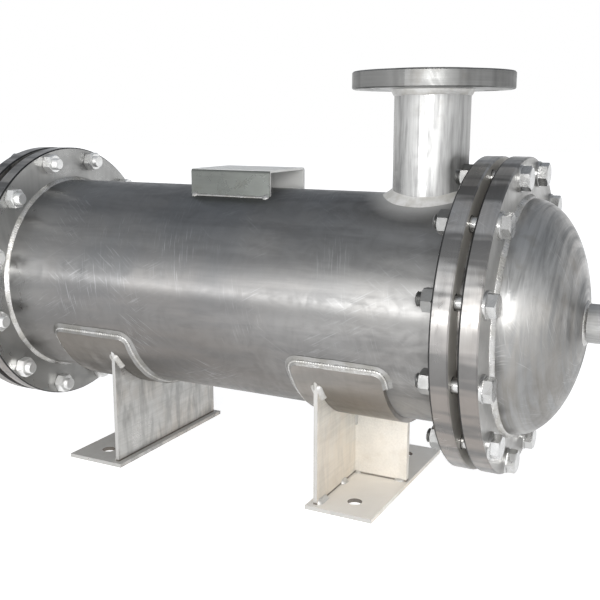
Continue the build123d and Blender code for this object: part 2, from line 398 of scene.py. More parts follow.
def steel(name, finish):
    """Worked stainless steel: brush lines, scratches, uneven polish, stains and slight waves."""
    material = bpy.data.materials.new(name)
    graph = Graph(material)
    place = graph.place()
    parts = graph.parts(place)
    grained = round_place(graph, *finish.about) if finish.about else place
    scales = LINE_SCALES[finish.lines]
    lines = graph.noise(graph.vector("MULTIPLY", grained, scales), *LINE_NOISE)
    cloud = graph.noise(place, *CLOUD_NOISE)
    colour = steel_colour(graph, finish, lines, cloud, graph.noise(place, *PATCH_NOISE))
    colour = painted_sheen_and_shade(graph, finish, parts, colour)
    broad_scales = tuple(scale * BROAD_SHARE for scale in scales)
    broad = graph.noise(graph.vector("MULTIPLY", grained, broad_scales), *BROAD_NOISE)
    rough = polish(graph, finish, broad, cloud, graph.noise(place, *SWIRL_NOISE))
    colour, rough = worn(graph, finish, place, grained, parts, colour, rough)
    colour, rough, metallic = second_looks(graph, finish, place, colour, rough)
    # Painted shadow lines along the inner edges of the girth rims.
    for inner in finish.edges:
        colour = graph.mix(inner_edge_shadow(graph, place, inner), colour, EDGE_SHADOW_TONE)
    # Dirt and painted shade where plates meet the base plate and in the anchor holes.
    if finish.shaded_dirty_joints:
        colour = graph.mix(graph.times(joint_dirt_and_shade(graph, parts), DIRT_AND_SHADE_GAIN), colour, JOINT_DIRT_AND_SHADE)
    # Beside the nozzles: ground metal, rougher and duller, with a painted sheen in its paler colour.
    for about, side in finish.halos:
        halo = ground_sheen_halo(graph, place, about, side)
        rough = graph.math("ADD", rough, graph.times(halo, HALO_ROUGHER), clamp=True)
        colour = graph.mix(graph.times(halo, HALO_SHEEN_GAIN), colour, HALO_SHEEN_TONE)
        metallic = graph.math("SUBTRACT", metallic, graph.times(halo, HALO_DULLER))
    normal = relief(graph, finish, place, lines)
    shader = graph.add("ShaderNodeBsdfPrincipled", Roughness=rough, Normal=normal)
    graph.feed(shader.inputs["Base Color"], colour)
    graph.feed(shader.inputs["Metallic"], metallic)
    if finish.spread:
        shader.inputs["Anisotropic"].default_value = finish.spread
        graph.feed(shader.inputs["Tangent"], brush_direction(graph, finish))
    graph.surface(shader.outputs[0])
    return material


def steel_colour(graph, finish, lines, cloud, patch):
    """The tone with lighter and darker brush lines, stains and warm patches."""
    share = finish.line_tone
    blend = graph.math("ADD", graph.ramp(lines, *LINE_SPAN, 0.0, share),
                       graph.ramp(cloud, *TONE_SPAN, 0.0, 1 - share))
    colour = graph.mix(blend, shade(finish.tone, LINE_DARK), shade(finish.tone, LINE_LIGHT))
    if finish.stains:
        spots = graph.ramp(patch, *STAIN_SPAN, 0.0, finish.stains)
        colour = graph.mix(spots, colour, shade(finish.tone, STAIN_SHADE))
    if finish.warmth:
        tint = graph.ramp(cloud, *WARM_SPAN, 0.0, finish.warmth)
        colour = graph.mix(tint, colour, shade(finish.tone, WARM_SHADE))
    return colour


def painted_sheen_and_shade(graph, finish, parts, colour):
    """Painted sheen, paler towards the shell's ends, and painted shade, darker and warmer below the axis."""
    pale = painted_end_sheen(graph, finish, parts) if finish.painted_end_sheen else None
    if pale:
        # Painted sheen towards the shell's ends, kept below its crown.
        below_crown = graph.ramp(parts["Z"], AXIS_Z + SHELL_RADIUS, AXIS_Z + SHELL_RADIUS * CROWN_SHARE)
        colour = graph.mix(graph.times(pale, below_crown), colour, END_SHEEN_TONE)
    if finish.low_painted_shade:
        share = graph.ramp(parts["Z"], AXIS_Z + LOW_SHADE_REACH, AXIS_Z - LOW_SHADE_REACH, 0.0, finish.low_painted_shade)
        if pale:
            share = graph.times(share, graph.math("SUBTRACT", 1.0, pale))
        colour = graph.mix(share, colour, shade(finish.tone, finish.low_shade_tone))
    return colour


def polish(graph, finish, broad, cloud, swirl):
    """Roughness, uneven in streaks, clouds and swirls."""
    streak = graph.ramp(broad, *STREAK_SPAN, -finish.streaks, finish.streaks)
    rough = graph.math("ADD", finish.roughness, streak)
    rough = graph.math("ADD", rough, graph.ramp(cloud, *CLOUD_SPAN, -finish.clouds, finish.clouds))
    whirl = graph.ramp(swirl, *SWIRL_SPAN, -finish.swirls, finish.swirls)
    return graph.math("ADD", rough, whirl, clamp=True)


def worn(graph, finish, place, grained, parts, colour, rough):
    """Smears, grinding marks, painted dark reflection bands, and roughness that grows along the shell."""
    if finish.smears:
        smear = graph.noise(graph.vector("MULTIPLY", grained, finish.smear_scale), *SMEAR_NOISE)
        share = graph.ramp(smear, *SMEAR_SPAN, 0.0, finish.smears)
        colour = graph.mix(share, colour, shade(finish.tone, SMEAR_DARK))
        rubbed = graph.ramp(smear, *SMEAR_ROUGH_SPAN, -SMEAR_ROUGHER, SMEAR_ROUGHER)
        rough = graph.math("ADD", rough, rubbed)
    if finish.marks:
        share = graph.times(diagonal_marks(graph, grained, place), finish.marks)
        colour = graph.mix(share, colour, shade(finish.tone, MARK_LIGHT))
    if finish.rise:
        growth = graph.ramp(parts["X"], -SHELL_HALF, SHELL_HALF, -finish.rise, finish.rise)
        rough = graph.math("ADD", rough, growth)
    if finish.reflection_bands:
        band = graph.noise(graph.vector("MULTIPLY", grained, BAND_SCALE), *BAND_NOISE)
        share = graph.ramp(band, *BAND_SPAN, 0.0, finish.reflection_bands)
        colour = graph.mix(share, colour, shade(finish.tone, REFLECTION_BAND_DARK))
    return colour, rough


def second_looks(graph, finish, place, colour, rough):
    """The finish's second looks laid over it, and how metallic each part is."""
    metallic = finish.metallic
    for second in finish.seconds:
        chosen = second.mask(graph, place)
        rough = graph.math("ADD", rough, graph.times(chosen, second.rougher), clamp=True)
        colour = graph.mix(graph.times(chosen, second.gain), colour, second.tone + (1.0,))
        step = graph.times(chosen, second.metallic - finish.metallic)
        metallic = graph.math("ADD", metallic, step)
    return colour, rough, metallic


def relief(graph, finish, place, lines):
    """Bump from the brush lines and scratches, on slight waves."""
    height = graph.math("ADD", lines, scratch_height(graph, place, finish.scratches))
    normal = graph.bump(height, finish.line_depth)
    return graph.bump(graph.noise(place, *WAVE_NOISE), finish.waves, 1.0, normal)


def brush_direction(graph, finish):
    """Tangent for the highlight: round the axis, or across that on a surface brushed in hoops."""
    hoop = hoop_direction(graph, *finish.about)
    if finish.lines != "hoop":
        return hoop
    face_normal = graph.add("ShaderNodeNewGeometry").outputs["Normal"]
    return graph.vector("CROSS_PRODUCT", face_normal, hoop)


def painted_end_sheen(graph, finish, parts):
    """0 in the middle of the shell and more towards its ends, where a painted sheen lies."""
    right = graph.ramp(parts["X"], SHELL_MIDDLE, SHELL_MIDDLE + SHELL_HALF * END_SHEEN_FULL_RIGHT,
                       0.0, finish.painted_end_sheen)
    left = graph.ramp(parts["X"], SHELL_MIDDLE - SHELL_HALF * END_SHEEN_START_LEFT, SHELL_MIDDLE - SHELL_HALF,
                      0.0, finish.painted_end_sheen)
    return graph.math("MAXIMUM", right, left)


def ground_sheen_halo(graph, place, about, side):
    """1 beside the foot of a shell nozzle, where the shell was ground and a painted sheen lies, fading out
    over some way.
    """
    centre, axis = about
    moved = graph.vector("SUBTRACT", place, centre)
    across = tuple(1.0 - part for part in AXES[axis])
    distance = graph.vector("LENGTH", graph.vector("MULTIPLY", moved, across))
    near = graph.ramp(distance, NOZZLE_RADIUS + HALO_START, NOZZLE_RADIUS + HALO_END, 1.0, 0.0)
    height = graph.vector("DOT_PRODUCT", graph.vector("SUBTRACT", place, side), AXES[axis])
    return graph.times(near, graph.math("GREATER_THAN", height, 0.0))


def inner_edge_shadow(graph, place, inner):
    """1 on the rim of a girth plate, at its edge that lies this far from the middle of the shell, where a
    painted shadow line lies.
    """
    along = graph.parts(place)["X"]
    distance = graph.math("ABSOLUTE", graph.math("SUBTRACT", along, SHELL_MIDDLE))
    offset = graph.math("ABSOLUTE", graph.math("SUBTRACT", distance, inner))
    near = graph.math("LESS_THAN", offset, EDGE_SHADOW_WIDTH)
    rim = graph.math("LESS_THAN", graph.math("ABSOLUTE", graph.lean("X")), FACING)
    return graph.times(near, rim)


def joint_dirt_and_shade(graph, parts):
    """Dirt and painted shade in the line where plates stand on the base plate, and on the walls of the anchor
    holes.
    """
    upright = graph.math("LESS_THAN", graph.math("ABSOLUTE", graph.lean("Z")), UPRIGHT)
    above = graph.math("GREATER_THAN", parts["Z"], base_high.z)
    fading = graph.ramp(parts["Z"], base_high.z + DIRT_AND_SHADE_HEIGHT / 2, base_high.z + DIRT_AND_SHADE_HEIGHT, 1.0, 0.0)
    foot = graph.times(above, fading)
    along = graph.math("SUBTRACT", graph.math("ABSOLUTE", parts["X"]), ANCHOR_X)
    across = graph.math("SUBTRACT", graph.math("ABSOLUTE", parts["Y"]), ANCHOR_Y)
    reach = graph.vector("LENGTH", graph.add("ShaderNodeCombineXYZ", X=along, Y=across).outputs[0])
    wall = graph.math("LESS_THAN", reach, ANCHOR_RADIUS + DIRT_AND_SHADE_MARGIN)
    return graph.times(upright, graph.math("MAXIMUM", foot, wall))


def diagonal_marks(graph, grained, place):
    """Short grinding marks in slanting clusters, 1 on a mark."""
    total = None
    for turn, shift in ((0.62, 0.0), (1.35, 3.0), (-0.5, 7.0)):
        turned = graph.add("ShaderNodeVectorRotate", {"rotation_type": "AXIS_ANGLE"}, Vector=grained,
                           Axis=(0.0, 0.0, 1.0), Angle=turn)
        stretched = graph.vector("MULTIPLY", turned.outputs[0], MARK_SCALE)
        line = graph.ramp(graph.noise(stretched, *MARK_NOISE), *MARK_SPAN)
        cluster = graph.noise(graph.vector("ADD", place, (shift, shift, 0.0)), *CLUSTER_NOISE)
        marks = graph.times(line, graph.ramp(cluster, *CLUSTER_SPAN))
        total = marks if total is None else graph.math("MAXIMUM", total, marks)
    return total


def scratch_height(graph, place, amount):
    """Thin stray scratches in two directions."""
    total = None
    for turn in ((0.7, 0.2, 0.5), (-0.4, 0.6, 1.9)):
        turned = graph.add("ShaderNodeVectorRotate", {"rotation_type": "EULER_XYZ"},
                           Vector=place, Rotation=turn)
        stretched = graph.vector("MULTIPLY", turned.outputs[0], SCRATCH_SCALE)
        marks = graph.ramp(graph.noise(stretched, *MARK_NOISE), *SCRATCH_SPAN, 0.0, -amount)
        total = marks if total is None else graph.math("ADD", total, marks)
    return total


def gasket_fibre():
    """Grey pressed fibre with a slight grain."""
    material = bpy.data.materials.new("gasket_fibre")
    graph = Graph(material)
    place = graph.place()
    grain = graph.noise(place, *GASKET_NOISE)
    colour = graph.mix(grain, GASKET_DARK, GASKET_LIGHT)
    shader = graph.add("ShaderNodeBsdfPrincipled", Normal=graph.bump(grain, 0.0002))
    graph.feed(shader.inputs["Base Color"], colour)
    shader.inputs["Roughness"].default_value = 0.75
    graph.surface(shader.outputs[0])
    return material


def weld_metal(name, tone, roughness, pits, metallic=0.9):
    """Weld metal with small pits and a straw tint here and there."""
    material = bpy.data.materials.new(name)
    graph = Graph(material)
    place = graph.place()
    spots = graph.noise(place, *PIT_NOISE)
    cloud = graph.noise(place, *STRAW_NOISE)
    grey = (tone,) * 3
    colour = graph.mix(graph.ramp(cloud, *STRAW_SPAN), shade(grey, WELD_CLEAN), shade(grey, WELD_STRAW))
    rough = graph.ramp(spots, *PIT_SPAN, roughness - WELD_SMOOTHER, roughness + WELD_ROUGHER)
    shader = graph.add("ShaderNodeBsdfPrincipled", Roughness=rough, Normal=graph.bump(spots, pits))
    graph.feed(shader.inputs["Base Color"], colour)
    shader.inputs["Metallic"].default_value = metallic
    graph.surface(shader.outputs[0])
    return material


SHELL_AXIS = ((SHELL_MIDDLE, 0.0, AXIS_Z), "X")
TOP_AXIS = ((TOP_NOZZLE_X, 0.0, 0.0), "Z")
REAR_AXIS = ((REAR_NOZZLE_X, 0.0, AXIS_Z), "Y")

# Tones of the painted sheen at the shell's ends, of the ground halos with painted sheen, of the painted
# shadow lines at rim edges, of dirt with painted shade, and of gaskets, and how far they reach
GASKET_DARK = (0.22, 0.22, 0.215, 1.0)
GASKET_LIGHT = (0.36, 0.36, 0.35, 1.0)
END_SHEEN_TONE = (0.52, 0.51, 0.495, 1.0)
HALO_SHEEN_TONE = (0.52, 0.52, 0.51, 1.0)
HALO_START = 0.010
HALO_END = 0.036
EDGE_SHADOW_TONE = (0.05, 0.05, 0.05, 1.0)
EDGE_SHADOW_WIDTH = 0.0021
JOINT_DIRT_AND_SHADE = (0.13, 0.11, 0.09, 1.0)
DIRT_AND_SHADE_HEIGHT = 0.0030
DIRT_AND_SHADE_MARGIN = 0.0008
BRACKET_EDGE = 0.0015

# Faces of a piece that look different from the rest of it
JOINT_FACE = SecondLook((0.44, 0.42, 0.38), 0.95, 0.08, 0.35, outward=1)
NUT_FACE = SecondLook((0.40, 0.40, 0.39), 0.8, 0.0, 0.75, outward=-1)
BOLTED_FACE = SecondLook((0.42, 0.415, 0.40), 0.8, 0.03, 0.75, outward=1)
TOP_NOZZLE_FACE = SecondLook((0.50, 0.495, 0.48), 0.8, 0.05, 0.55, "Z")
REAR_NOZZLE_FACE = SecondLook((0.50, 0.495, 0.48), 0.8, 0.05, 0.55, "Y")
# The base plates' tops get a lighter, duller copy of their saddle's steel: painted light on faces that face
# up.
RIGHT_BASE_TOP_LIT = SecondLook((0.92, 0.89, 0.84), 0.9, 0.05, 0.25, "Z")
LEFT_BASE_TOP_LIT = SecondLook((0.58, 0.57, 0.55), 0.9, 0.05, 0.4, "Z")
PLATE_EDGE = SecondLook((0.50, 0.495, 0.48), 0.9, 0.0, 0.7, "Y")
BRACKET_INSIDE = SecondLook((0.85, 0.85, 0.83), 0.95, 0.10, 0.2,
                            inside=(bracket_high.y - bracket_low.y) / 2 - BRACKET_EDGE)


def nozzle_pipe_finish(about):
    return Finish((0.42, 0.42, 0.415), about, "lengthwise", 0.44, 0.75, streaks=0.12, clouds=0.08,
                  stains=0.25, scratches=0.5, smears=0.8, smear_scale=(9.0, 110.0, 110.0))


def nozzle_flange_finish(about, face):
    return Finish((0.24, 0.24, 0.235), about, "hoop", 0.42, clouds=0.08, stains=0.3, scratches=0.4,
                  seconds=(face,), reflection_bands=0.4)


def girth_finish(inner, *faces):
    return Finish((0.47, 0.465, 0.46), SHELL_AXIS, "hoop", 0.38, 0.75, warmth=0.4, stains=0.3,
                  metallic=0.95, seconds=faces, low_painted_shade=1.0, marks=0.3, reflection_bands=0.85, edges=(inner,),
                  low_shade_tone=(0.54, 0.50, 0.47))


def saddle_finish(tone, metallic, faces, smears, warmth=0.5):
    return Finish(tone, None, "across", 0.50, streaks=0.10, clouds=0.10, swirls=0.08, warmth=warmth,
                  stains=0.25, metallic=metallic, line_depth=0.0001, seconds=faces, smears=smears,
                  shaded_dirty_joints=True, smear_scale=(20.0, 60.0, 12.0))


def pad_finish(tone):
    return Finish(tone, SHELL_AXIS, "hoop", 0.45, 0.8, 0.00003, warmth=0.4, low_painted_shade=0.6, line_tone=0.2,
                  smears=0.4)


FINISHES = {
    "shell": Finish((0.28, 0.285, 0.29), SHELL_AXIS, "hoop", 0.43, 0.94, 0.00002, streaks=0.02, clouds=0.04,
                    warmth=0.3, waves=0.0003, low_painted_shade=0.9, line_tone=0.15, smears=0.35, marks=0.35,
                    rise=0.10, painted_end_sheen=0.65, low_shade_tone=(0.73, 0.67, 0.62),
                    halos=((TOP_AXIS, SHELL_AXIS[0]), (REAR_AXIS, SHELL_AXIS[0]))),
    "tubesheet": girth_finish(SHELL_HALF, JOINT_FACE, NUT_FACE),
    "head_flange": girth_finish(HEAD_FLANGE_OUTER - PLATE, BOLTED_FACE),
    "head": Finish((0.505, 0.505, 0.50), SHELL_AXIS, "hoop", 0.51, 0.75, streaks=0.12, clouds=0.06,
                   stains=0.35, warmth=0.3, waves=0.0005, scratches=0.6, low_painted_shade=1.0, smears=1.0, marks=0.25,
                   smear_scale=(60.0, 7.0, 60.0), low_shade_tone=(0.50, 0.48, 0.455)),
    "top_pipe": nozzle_pipe_finish(TOP_AXIS),
    "rear_pipe": nozzle_pipe_finish(REAR_AXIS),
    "head_pipe": nozzle_pipe_finish(SHELL_AXIS),
    "top_flange": nozzle_flange_finish(TOP_AXIS, TOP_NOZZLE_FACE),
    "rear_flange": nozzle_flange_finish(REAR_AXIS, REAR_NOZZLE_FACE),
    # Lit and shaded copies of one saddle steel: the right saddle and rib are painted lighter and the left
    # ones darker, as painted light.
    "right_saddle": saddle_finish((0.85, 0.83, 0.78), 0.5, (RIGHT_BASE_TOP_LIT, PLATE_EDGE), 0.2),
    "left_saddle": saddle_finish((0.53, 0.525, 0.51), 0.8, (LEFT_BASE_TOP_LIT, PLATE_EDGE), 0.7),
    "right_rib": saddle_finish((0.85, 0.83, 0.78), 0.5, (), 0.15, 0.2),
    "left_rib": saddle_finish((0.53, 0.525, 0.51), 0.8, (), 0.7),
    # Lit and shaded copies of one pad steel: the right pad painted lighter, the left one darker.
    "right_pad": pad_finish((0.33, 0.325, 0.315)),
    "left_pad": pad_finish((0.23, 0.225, 0.215)),
    "bracket": Finish((0.19, 0.20, 0.188), None, "lengthwise", 0.40, clouds=0.12, swirls=0.08, stains=0.3,
                      metallic=0.95, seconds=(BRACKET_INSIDE,), line_tone=0.2, smears=0.4),
    "bundle": Finish((0.40, 0.40, 0.39), SHELL_AXIS, "lengthwise", 0.38),
    "bolt": Finish((0.52, 0.52, 0.515), None, "none", 0.26, clouds=0.06, stains=0.2),
    # Shaded and lit copies of one nut steel: the right nuts painted darker, and the left nuts painted near
    # white as a painted glare.
    "right_nut": Finish((0.30, 0.30, 0.295), None, "none", 0.42, clouds=0.12, stains=0.3),
    "left_nut": Finish((0.85, 0.85, 0.84), None, "none", 0.36, clouds=0.12, stains=0.2, metallic=0.75),
}


def make_materials():
    materials = {name: steel(name + "_steel", finish) for name, finish in FINISHES.items()}
    materials["gasket"] = gasket_fibre()
    materials["weld"] = weld_metal("weld_steel", 0.56, 0.32, 0.0006)
    materials["ground_weld"] = weld_metal("ground_weld_steel", 0.32, 0.40, 0.0001)
    materials["foot_weld"] = weld_metal("foot_weld_steel", 0.72, 0.45, 0.00015, 0.35)
    materials["stitch"] = weld_metal("stitch_steel", 0.64, 0.42, 0.0004, 0.4)
    return materials


NODE_FINISH = {
    "shell_barrel": "shell",
    "tubesheet": "tubesheet",
    "gasket": "gasket",
    "head_flange": "head_flange",
    "dished_head": "head",
    "head_nozzle_pipe": "head_pipe",
    "head_nozzle_flange": "head_flange",
    "top_nozzle_pipe": "top_pipe",
    "top_nozzle_flange": "top_flange",
    "rear_nozzle_pipe": "rear_pipe",
    "rear_nozzle_flange": "rear_flange",
    "nameplate_bracket": "bracket",
    "wear_pad": "pad",
    "saddle_web": "saddle",
    "saddle_rib": "rib",
    "saddle_base": "saddle",
    "tubes": "bundle",
    "baffles": "bundle",
    "tie_rods": "bundle",
}


def finish_nodes(materials):
    """Give every CAD node its finish."""
    for name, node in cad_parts.items():
        plain = name.removeprefix("left_").removeprefix("right_")
        finish = NODE_FINISH[plain]
        if finish in ("saddle", "rib", "pad"):
            finish = name.split("_")[0] + "_" + finish
        node.data.materials.clear()
        node.data.materials.append(materials[finish])


def new_object(name, data):
    made = bpy.data.objects.new(name, data)
    bpy.context.scene.collection.objects.link(made)
    return made


class Shape:
    """Vertices and faces gathered from many small forms into one mesh."""

    def __init__(self):
        self.points = []
        self.faces = []

    def add(self, points, faces, matrix=Matrix.Identity(4)):
        start = len(self.points)
        self.points += [matrix @ Vector(point) for point in points]
        self.faces += [tuple(start + index for index in face) for face in faces]

    def finish(self, name, material, slot, sharp_angle=35):
        mesh = bpy.data.meshes.new(name)
        mesh.from_pydata(self.points, [], self.faces)
        mesh.shade_smooth()
        mesh.set_sharp_from_angle(angle=math.radians(sharp_angle))
        piece = new_object(name, mesh)
        mesh.materials.append(material)
        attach(piece, "root")
        return piece


def rings_to_mesh(rings, closed_along=False, caps=False):
    """Join rings of equal length by quads; a cap closes each end with one face."""
    count = len(rings[0])
    points = [point for ring in rings for point in ring]
    faces = []
    last = len(rings) if closed_along else len(rings) - 1
    for row in range(last):
        here, there = row * count, (row + 1) % len(rings) * count
        for index in range(count):
            after = (index + 1) % count
            faces.append((here + index, here + after, there + after, there + index))
    if caps:
        faces.append(tuple(reversed(range(count))))
        faces.append(tuple(range((len(rings) - 1) * count, len(rings) * count)))
    return points, faces


def circle_ring(radius, height, steps):
    turn = 2 * math.pi / steps
    return [(radius * math.cos(i * turn), radius * math.sin(i * turn), height) for i in range(steps)]


def hexagon_form(height, chamfer_base, steps=36):
    """Hexagon bar with its end chamfered to a circle, and its base too if asked."""
    half = ACROSS_FLATS / 2
    top_radius = half * CHAMFER_SHARE
    side = []
    for index in range(steps):
        angle = 2 * math.pi / steps * index
        folded = (angle + math.pi / 6) % (math.pi / 3) - math.pi / 6
        radius = half / math.cos(folded)
        side.append((angle, radius, max(0.0, (radius - top_radius) * CHAMFER_SLOPE)))

    def ring(level, drop_share):
        return [(radius * math.cos(angle), radius * math.sin(angle), level + drop_share * drop)
                for angle, radius, drop in side]

    rings = [circle_ring(top_radius, 0.0, steps)] if chamfer_base else []
    rings.append(ring(0.0, 1.0 if chamfer_base else 0.0))
    rings += [ring(height, -1.0), circle_ring(top_radius, height, steps)]
    return rings_to_mesh(rings, caps=True)


def thread_form(length, steps=24):
    """Stud end with turned grooves and a chamfered tip."""
    root = BOLT_RADIUS - THREAD_DEPTH
    rings = [circle_ring(BOLT_RADIUS, 0.0, steps)]
    height = 0.0
    while height + THREAD_PITCH < length:
        rings.append(circle_ring(root, height + THREAD_PITCH / 2, steps))
        height += THREAD_PITCH
        rings.append(circle_ring(BOLT_RADIUS, height, steps))
    rings.append(circle_ring(root, length, steps))
    return rings_to_mesh(rings, caps=True)


def bar_form(radius, length, steps=24):
    return rings_to_mesh([circle_ring(radius, 0.0, steps), circle_ring(radius, length, steps)], caps=True)


def washer_form(steps=36):
    outline = ((WASHER_RADIUS, 0.0), (WASHER_RADIUS, WASHER_THICKNESS - WASHER_EDGE),
               (WASHER_RADIUS - WASHER_EDGE, WASHER_THICKNESS))
    return rings_to_mesh([circle_ring(radius, height, steps) for radius, height in outline], caps=True)


def girth_bolts(side, materials):
    """Twelve bolts of one girth joint: heads on the head flange, nuts against the tubesheet."""
    label = "right" if side > 0 else "left"
    head_face = SHELL_MIDDLE + side * HEAD_FLANGE_OUTER
    nut_face = SHELL_MIDDLE + side * SHELL_HALF
    outward = Matrix.Rotation(side * math.pi / 2, 4, "Y")
    inward = Matrix.Rotation(-side * math.pi / 2, 4, "Y")
    picker = random.Random(11 + side)
    heads, nuts = Shape(), Shape()
    for index in range(BOLT_COUNT):
        angle = (index + 0.5) * 2 * math.pi / BOLT_COUNT
        y = BOLT_CIRCLE * math.cos(angle)
        z = AXIS_Z + BOLT_CIRCLE * math.sin(angle)
        head_turn = Matrix.Rotation(picker.uniform(0, math.pi / 3), 4, "Z")
        nut_turn = Matrix.Rotation(picker.uniform(0, math.pi / 3), 4, "Z")
        head_place = Matrix.Translation((head_face, y, z)) @ outward @ head_turn
        nut_place = Matrix.Translation((nut_face, y, z)) @ inward @ nut_turn
        shank = abs(head_face - nut_face)
        heads.add(*washer_form(), head_place)
        on_washer = head_place @ Matrix.Translation((0, 0, WASHER_THICKNESS))
        heads.add(*hexagon_form(HEAD_HEIGHT, False), on_washer)
        heads.add(*bar_form(BOLT_RADIUS, shank), Matrix.Translation((nut_face, y, z)) @ outward)
        nuts.add(*hexagon_form(NUT_HEIGHT, True), nut_place)
        end = nut_place @ Matrix.Translation((0, 0, NUT_HEIGHT))
        nuts.add(*thread_form(STUD_END + picker.uniform(-0.001, 0.0015)), end)
    heads.finish(label + "_girth_bolts", materials["bolt"], "bolting", BOLT_SHARP)
    nuts.finish(label + "_girth_nuts", materials[label + "_nut"], "bolting", BOLT_SHARP)


def weld_steps(frames, closed, seed, unevenness):
    """Each frame with the length travelled to it and the weld's size there, smaller at open ends."""
    swing, pitch, seed_step, end_size, growth = unevenness
    travelled = 0.0
    last = len(frames) - 1
    for index, (corner, along_a, along_b) in enumerate(frames):
        if index:
            travelled += (corner - frames[index - 1][0]).length
        lump = 1.0 + swing * noise.noise(Vector((travelled * pitch, seed * seed_step, 0.0)))
        if not closed:
            lump *= min(1.0, end_size + growth * min(index, last - index))
        yield corner, along_a, along_b, travelled, lump


def fillet_form(frames, legs, closed, seed, power=1.5, ripple=0.0003, steps=6):
    """Fillet weld along frames of (corner, direction a, direction b), with a crescent ripple."""
    rings = []
    for corner, along_a, along_b, travelled, lump in weld_steps(frames, closed, seed, FILLET_UNEVENNESS):
        outward = (along_a + along_b).normalized()
        ring = []
        for step in range(steps + 1):
            angle = step / steps * math.pi / 2
            reach_a = legs[0] * lump * math.cos(angle) ** power
            reach_b = legs[1] * lump * math.sin(angle) ** power
            arch = math.sin(2 * angle)
            phase = travelled / RIPPLE_PITCH + RIPPLE_CURVE * arch
            crest = ripple * arch * (1.0 - phase % 1.0)
            ring.append(corner + along_a * reach_a + along_b * reach_b + outward * crest)
        ring.append(corner - outward * BURIED)
        rings.append(ring)
    return rings_to_mesh(rings, closed_along=closed, caps=not closed)


def bead_form(frames, legs, radius, closed, seed, steps=8):
    """Rippled round bead riding on the middle of a fillet."""
    rings = []
    for corner, along_a, along_b, travelled, lump in weld_steps(frames, closed, seed, BEAD_UNEVENNESS):
        size = radius * lump * (1.0 - BEAD_NOTCH * (travelled / RIPPLE_PITCH % 1.0))
        middle = corner + along_a * legs[0] * BEAD_SHARE + along_b * legs[1] * BEAD_SHARE
        ring = []
        for step in range(steps):
            angle = step / steps * 2 * math.pi
            ring.append(middle + (along_a * math.cos(angle) + along_b * math.sin(angle)) * size)
        rings.append(ring)
    return rings_to_mesh(rings, closed_along=closed, caps=not closed)


def path_steps(length):
    return max(6, round(length / RIPPLE_PITCH * 3))


def hoop_frames(x, radius, along, start=0.0, sweep=2 * math.pi, inward=False):
    """Frames about the shell's axis at one x, with the second leg running in the direction along X."""
    closed = abs(sweep) >= 2 * math.pi
    count = path_steps(radius * abs(sweep))
    last = count if closed else count - 1
    frames = []
    for index in range(count):
        angle = start + sweep * index / last
        radial = Vector((0.0, -math.cos(angle), -math.sin(angle)))
        corner = Vector((x, 0.0, AXIS_Z)) + radial * radius
        frames.append((corner, -radial if inward else radial, Vector((along, 0.0, 0.0))))
    return frames


def straight_frames(start, end, along_a, along_b):
    start, end = Vector(start), Vector(end)
    count = path_steps((end - start).length)
    return [(start.lerp(end, i / (count - 1)), Vector(along_a), Vector(along_b)) for i in range(count)]


def foot_frame(place, angle):
    """Corner of a nozzle pipe and the shell, for a nozzle made along local +Z."""
    x, y = NOZZLE_RADIUS * math.cos(angle), NOZZLE_RADIUS * math.sin(angle)
    height = math.sqrt(SHELL_RADIUS**2 - y**2)
    slope = -y * math.sin(angle) / height
    out = Vector((math.cos(angle), math.sin(angle), slope)).normalized()
    return place @ Vector((x, y, height)), turned(place, (0, 0, 1)), turned(place, out)


def neck_frame(place, angle):
    """Corner of a nozzle pipe and the back of its flange."""
    out = Vector((math.cos(angle), math.sin(angle), 0.0))
    corner = out * NOZZLE_RADIUS + Vector((0.0, 0.0, NOZZLE_FLANGE_BACK))
    return place @ corner, turned(place, out), turned(place, (0, 0, -1))


def nozzle_frames(place, frame_at):
    count = path_steps(2 * math.pi * NOZZLE_RADIUS)
    return [frame_at(place, 2 * math.pi * index / count) for index in range(count)]


def turned(place, direction):
    return (place.to_3x3() @ Vector(direction)).normalized()


def pad_outline(side):
    """Outline of a wear pad as ((x, arc length from the bottom), outward direction), closed."""
    middle = side * (pad_low.x + pad_high.x) / 2
    half_x = (pad_high.x - pad_low.x) / 2 - PAD_CORNER
    half_s = PAD_WRAP / 2 * SHELL_RADIUS - PAD_CORNER
    centres = ((1, 1, 0), (-1, 1, 90), (-1, -1, 180), (1, -1, 270))
    bends = []
    for sign_x, sign_s, start in centres:
        for step in range(10):
            angle = math.radians(start + step * 10)
            outward = Vector((math.cos(angle), math.sin(angle)))
            bends.append((Vector((sign_x * half_x, sign_s * half_s)) + outward * PAD_CORNER, outward))
    outline = []
    for index, (here, outward) in enumerate(bends):
        there, next_outward = bends[(index + 1) % len(bends)]
        parts = max(1, round((there - here).length / RIPPLE_PITCH * 3))
        for part in range(parts):
            share = part / parts
            flat = here.lerp(there, share)
            away = outward.lerp(next_outward, share).normalized()
            outline.append((Vector((middle + flat.x, flat.y)), away))
    return outline


def pad_frames(side):
    frames = []
    for flat, outward in pad_outline(side):
        angle = flat.y / SHELL_RADIUS
        radial = Vector((0.0, math.sin(angle), -math.cos(angle)))
        around = Vector((0.0, math.cos(angle), math.sin(angle)))
        corner = Vector((flat.x, 0.0, AXIS_Z)) + radial * SHELL_RADIUS
        frames.append((corner, radial, Vector((outward.x, 0.0, 0.0)) + around * outward.y))
    return frames


